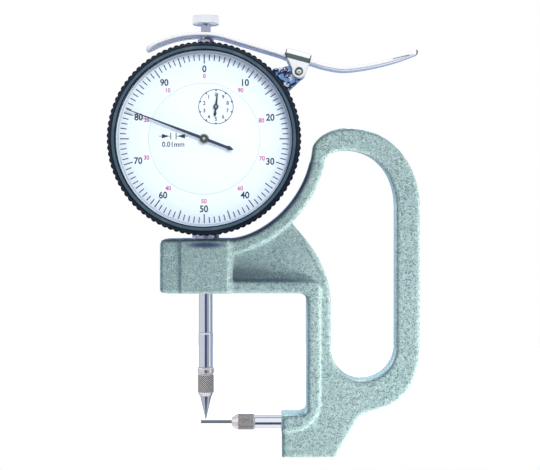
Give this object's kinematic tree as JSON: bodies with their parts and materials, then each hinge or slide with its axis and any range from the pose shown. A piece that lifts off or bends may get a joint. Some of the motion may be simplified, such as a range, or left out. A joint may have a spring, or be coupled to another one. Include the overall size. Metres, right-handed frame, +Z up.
{
  "type": "tube wall thickness gauge",
  "caption": "Dial thickness gauge with loop-handled C frame, pointed contact over a pin anvil for tube walls, lifting lever and full gear movement.",
  "frame": {"origin": "centre of the flat foot under the frame's lower arm", "axes": "+Z up along the spindle, -Y out of the dial face, +X from the spindle towards the handle"},
  "size_m": [0.0913, 0.0231, 0.1304],
  "materials": {
    "casting": "speckled grey-green hammer paint on a casting",
    "chrome": "bright chrome plate",
    "steel": "fine turned steel",
    "dark_steel": "hardened darker steel",
    "brass": "plain brass",
    "bezel_black": "blue-black moulded rim",
    "dial_white": "white dial enamel with printed scale",
    "pointer_black": "black lacquer",
    "crystal": "clear flat crystal",
    "ruby": "synthetic ruby bearing"
  },
  "bodies": {
    "gauge_frame": {"frame": "casting", "stem_clamp_screw": "dark_steel", "anvil_set_screw": "dark_steel", "anvil_rod": "chrome", "anvil_chuck": "steel", "anvil_pin": "dark_steel", "pivot_pin": "steel", "lever_bracket": "chrome", "bracket_screw_1": "steel", "bracket_screw_2": "steel", "case": "chrome", "back_cover": "chrome", "stem": "steel", "upper_bush": "steel", "dial_centre": "dial_white", "hairspring": "steel", "bridge_plate": "brass", "guide_rail": "brass", "spring_post": "brass", "return_spring": "steel", "back_cover_screw_1": "dark_steel", "back_cover_screw_2": "dark_steel", "back_cover_screw_3": "dark_steel", "back_cover_screw_4": "dark_steel", "bridge_pillar_1": "brass", "bridge_screw_1": "steel", "bridge_pillar_2": "brass", "bridge_screw_2": "steel", "bridge_pillar_3": "brass", "bridge_screw_3": "steel", "jewel_1": "ruby", "jewel_2": "ruby", "jewel_3": "ruby", "jewel_4": "ruby", "jewel_5": "ruby"},
    "spindle_group": {"spindle": "chrome", "guide_pin": "steel", "extension_rod": "chrome", "lock_nut": "steel", "contact_holder": "steel", "contact_tip": "dark_steel", "lifting_knob": "chrome"},
    "lever_group": {"lever": "chrome", "lever_saddle": "chrome"},
    "bezel_group": {"bezel": "bezel_black", "crystal": "crystal", "bezel_snap_ring": "steel", "dial_ring": "dial_white"},
    "pointer_group": {"centre_pinion": "steel", "main_pointer": "pointer_black"},
    "drive_group": {"rack_pinion": "steel", "drive_gear": "brass"},
    "takeup_group": {"takeup_arbor": "steel", "takeup_gear": "brass", "counter_pointer": "pointer_black"}
  },
  "joints": [
    {"name": "spindle_lift", "type": "slide", "parent": "gauge_frame", "child": "spindle_group", "axis": [0, 0, 1], "range_m": [0, 0.0102], "stiffness_N_per_m": 40, "springref_m": -0.02, "deforming": ["return_spring"]},
    {"name": "lever_pivot", "type": "hinge", "parent": "gauge_frame", "child": "lever_group", "pos_m": [-0.00279, 0, 0.11364], "axis": [0, 1, 0], "range_deg": [0, 19.5]},
    {"name": "bezel_turn", "type": "hinge", "parent": "gauge_frame", "child": "bezel_group", "pos_m": [-0.03038, 0, 0.0936], "axis": [0, 1, 0], "continuous": true},
    {"name": "pointer_turn", "type": "hinge", "parent": "gauge_frame", "child": "pointer_group", "pos_m": [-0.03038, 0, 0.0936], "axis": [0, 1, 0], "range_deg": [-10, 3690]},
    {"name": "drive_turn", "type": "hinge", "parent": "gauge_frame", "child": "drive_group", "pos_m": [-0.03377, 0, 0.0843], "axis": [0, 1, 0], "range_deg": [-369, 1]},
    {"name": "takeup_turn", "type": "hinge", "parent": "gauge_frame", "child": "takeup_group", "pos_m": [-0.02699, 0, 0.1029], "axis": [0, 1, 0], "range_deg": [-369, 1]}
  ],
  "couplings": [
    {"joint": "lever_pivot", "follows": "spindle_lift", "rad_per_m": 33.1},
    {"joint": "pointer_turn", "follows": "spindle_lift", "rad_per_m": 6283.2},
    {"joint": "drive_turn", "follows": "spindle_lift", "rad_per_m": -628.32},
    {"joint": "takeup_turn", "follows": "spindle_lift", "rad_per_m": -628.32}
  ]
}
